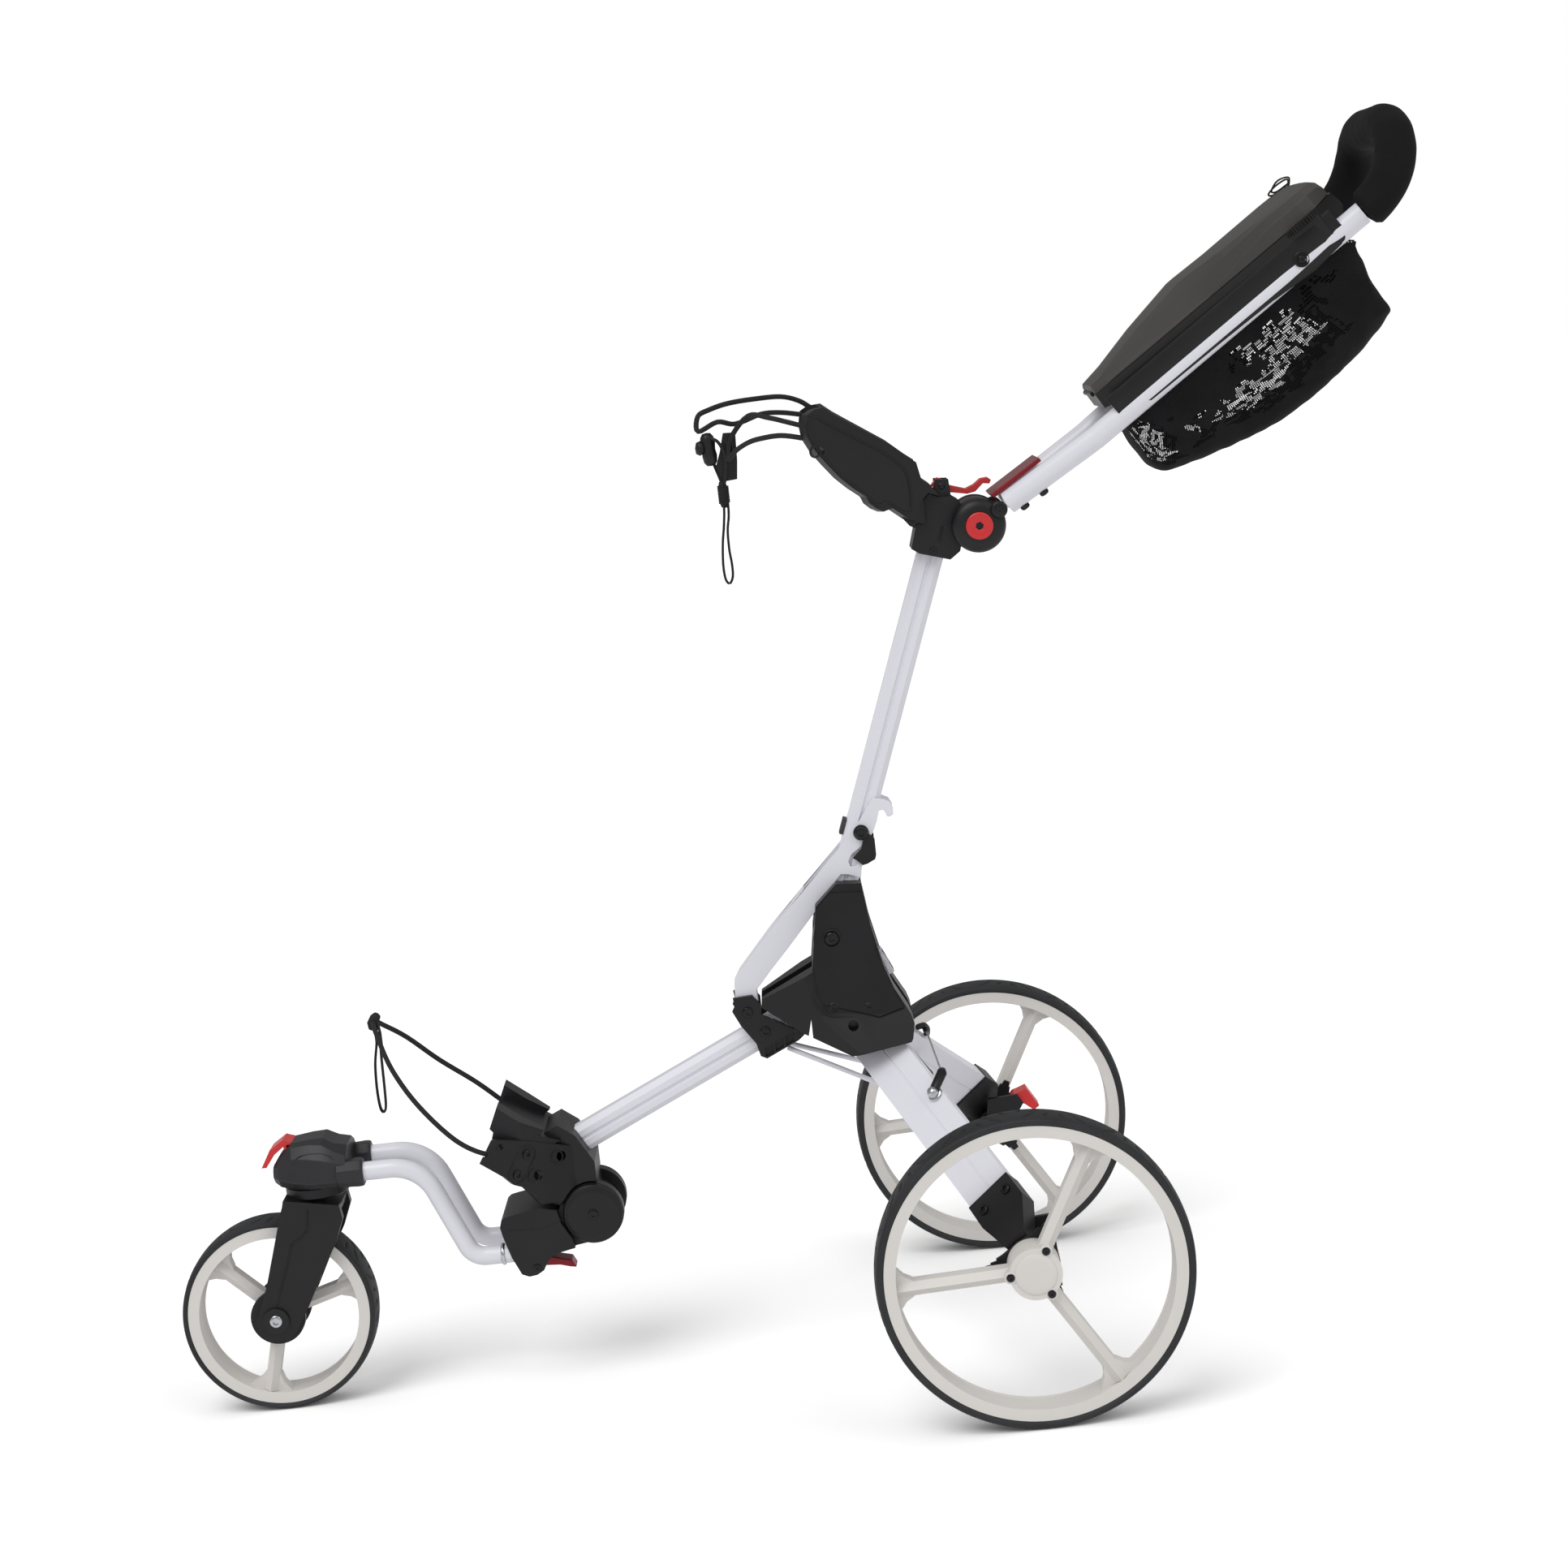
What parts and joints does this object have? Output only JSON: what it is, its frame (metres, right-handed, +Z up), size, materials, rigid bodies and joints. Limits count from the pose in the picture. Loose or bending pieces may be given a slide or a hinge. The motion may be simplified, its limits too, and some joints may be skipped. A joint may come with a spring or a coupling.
{
  "type": "golf push cart",
  "caption": "Folding golf push cart with rear wheels on splayed legs, a swivelling front wheel, bag brackets, console and a foam-covered handle loop.",
  "frame": {"origin": "on the floor under the middle of the cart's length and width", "axes": "+X forward towards the front wheel, +Y to the cart's left, +Z up"},
  "size_m": [1.2904, 0.596, 1.1479],
  "materials": {
    "white_paint": "gloss white paint on aluminium",
    "rim_white": "satin moulded off-white plastic",
    "black_plastic": "satin moulded black plastic",
    "dark_grey": "fine-grained moulded plastic",
    "foam_black": "closed-cell foam",
    "tyre_rubber": "matt rubber tread",
    "signal_red": "satin moulded red plastic",
    "dark_red": "dark red anodised bar",
    "steel": "bright steel",
    "cord_black": "braided elastic cord and webbing",
    "mesh_black": "open mesh cloth"
  },
  "bodies": {
    "frame": {"lower_tube": "white_paint", "housing_left": "black_plastic", "housing_right": "black_plastic", "frame_screws": "steel", "mast_pivot_bolt": "steel", "leg_hinge_pin": "steel", "lower_bag_bracket": "black_plastic", "front_hinge_bolt": "steel", "lower_shock_cord": "cord_black", "lower_pull_strap": "cord_black"},
    "slider": {"slider_bracket": "black_plastic", "slider_screws": "steel"},
    "mast": {"mast_tube": "white_paint", "mast_foot": "black_plastic", "strut_pivot_pin": "steel", "mast_catch": "black_plastic", "mast_clip": "dark_grey", "mast_head": "black_plastic", "upper_bag_bracket": "black_plastic", "upper_cord_near": "cord_black", "upper_cord_far": "cord_black", "cord_hooks": "cord_black", "upper_pull_strap": "cord_black"},
    "strut": {"strut_channel": "white_paint"},
    "cam_lever": {"cam_lever": "signal_red"},
    "handle": {"handle_tubes": "white_paint", "handle_lugs": "black_plastic", "top_joint_bolt": "steel", "red_caps": "signal_red", "handle_bar": "dark_red", "foam_grip": "foam_black", "console_base": "black_plastic", "console_fittings": "black_plastic", "mesh_bag": "mesh_black"},
    "console_lid": {"console_lid": "dark_grey"},
    "console_button": {"console_button": "signal_red"},
    "legs": {"leg_tubes": "white_paint", "leg_knuckles": "black_plastic", "axle_brackets": "black_plastic", "rear_axles": "steel", "leg_screws": "steel", "tie_link": "steel"},
    "brake_pedal": {"brake_pedal": "signal_red"},
    "spreader_rods": {"spreader_rods": "white_paint"},
    "rear_wheel_left": {"rear_tyre_left": "tyre_rubber", "rear_rim_left": "rim_white", "hub_cover_left": "rim_white"},
    "rear_wheel_right": {"rear_tyre_right": "tyre_rubber", "rear_rim_right": "rim_white", "hub_cover_right": "rim_white"},
    "front_yoke": {"front_link": "black_plastic", "front_discs": "black_plastic", "yoke_tubes": "white_paint", "head_housing": "black_plastic"},
    "release_lever": {"release_lever": "dark_red"},
    "head_lever": {"head_lever": "signal_red"},
    "fork": {"fork": "black_plastic", "front_axle": "steel"},
    "front_wheel": {"front_tyre": "tyre_rubber", "front_rim": "rim_white"}
  },
  "joints": [
    {"name": "mast_fold", "type": "hinge", "parent": "frame", "child": "mast", "pos_m": [-0.0373, 0, 0.4186], "axis": [0, 1, 0], "range_deg": [0, 100], "deforming": ["upper_cord_near", "upper_cord_far", "upper_pull_strap", "lower_shock_cord", "lower_pull_strap"]},
    {"name": "slider_slide", "type": "slide", "parent": "frame", "child": "slider", "axis": [0.9092, 0, -0.4163], "range_m": [0, 0.164]},
    {"name": "strut_turn", "type": "hinge", "parent": "mast", "child": "strut", "pos_m": [-0.0766, 0, 0.51489], "axis": [0, -1, 0], "range_deg": [0, 103]},
    {"name": "cam_lever_turn", "type": "hinge", "parent": "mast", "child": "cam_lever", "pos_m": [-0.188, 0, 0.839], "axis": [0, 1, 0], "range_deg": [0, 95]},
    {"name": "handle_fold", "type": "hinge", "parent": "mast", "child": "handle", "pos_m": [-0.2185, 0, 0.7994], "axis": [0, -1, 0], "range_deg": [0, 110], "deforming": ["mesh_bag"]},
    {"name": "console_lid_turn", "type": "hinge", "parent": "handle", "child": "console_lid", "pos_m": [-0.3379, 0, 0.9107], "axis": [0, 1, 0], "range_deg": [0, 100]},
    {"name": "console_button_press", "type": "slide", "parent": "handle", "child": "console_button", "axis": [0.8181, 0, -0.575], "range_m": [0, 0.003], "stiffness_N_per_m": 400},
    {"name": "legs_fold", "type": "hinge", "parent": "frame", "child": "legs", "pos_m": [-0.049, 0, 0.334], "axis": [0, -1, 0], "range_deg": [0, 76.5]},
    {"name": "brake_pedal_turn", "type": "hinge", "parent": "legs", "child": "brake_pedal", "pos_m": [-0.214, -0.235, 0.172], "axis": [0, 1, 0], "range_deg": [0, 20]},
    {"name": "rods_turn", "type": "hinge", "parent": "legs", "child": "spreader_rods", "pos_m": [-0.11806, 0, 0.24838], "axis": [0, 1, 0], "range_deg": [0, 103]},
    {"name": "rear_wheel_left_spin", "type": "hinge", "parent": "legs", "child": "rear_wheel_left", "pos_m": [-0.187, 0.278, 0.145], "axis": [0, 1, 0], "continuous": true},
    {"name": "rear_wheel_right_spin", "type": "hinge", "parent": "legs", "child": "rear_wheel_right", "pos_m": [-0.187, -0.278, 0.145], "axis": [0, 1, 0], "continuous": true},
    {"name": "front_fold", "type": "hinge", "parent": "frame", "child": "front_yoke", "pos_m": [0.224, 0, 0.171], "axis": [0, 1, 0], "range_deg": [0, 150]},
    {"name": "release_lever_turn", "type": "hinge", "parent": "front_yoke", "child": "release_lever", "pos_m": [0.279, 0, 0.121], "axis": [0, 1, 0], "range_deg": [0, 15], "stiffness_Nm_per_rad": 0.1},
    {"name": "head_lever_turn", "type": "hinge", "parent": "front_yoke", "child": "head_lever", "pos_m": [0.516, 0, 0.265], "axis": [0, -1, 0], "range_deg": [0, 60]},
    {"name": "front_swivel", "type": "hinge", "parent": "front_yoke", "child": "fork", "pos_m": [0.495, 0, 0.21], "axis": [0, 0, 1], "continuous": true},
    {"name": "front_wheel_spin", "type": "hinge", "parent": "fork", "child": "front_wheel", "pos_m": [0.547, 0, 0.0965], "axis": [0, 1, 0], "continuous": true}
  ],
  "couplings": [
    {"joint": "slider_slide", "follows": "mast_fold", "m_per_rad": 0.093627},
    {"joint": "strut_turn", "follows": "mast_fold", "ratio": 1.0274},
    {"joint": "legs_fold", "follows": "mast_fold", "ratio": 0.761},
    {"joint": "rods_turn", "follows": "mast_fold", "ratio": 1.023}
  ]
}
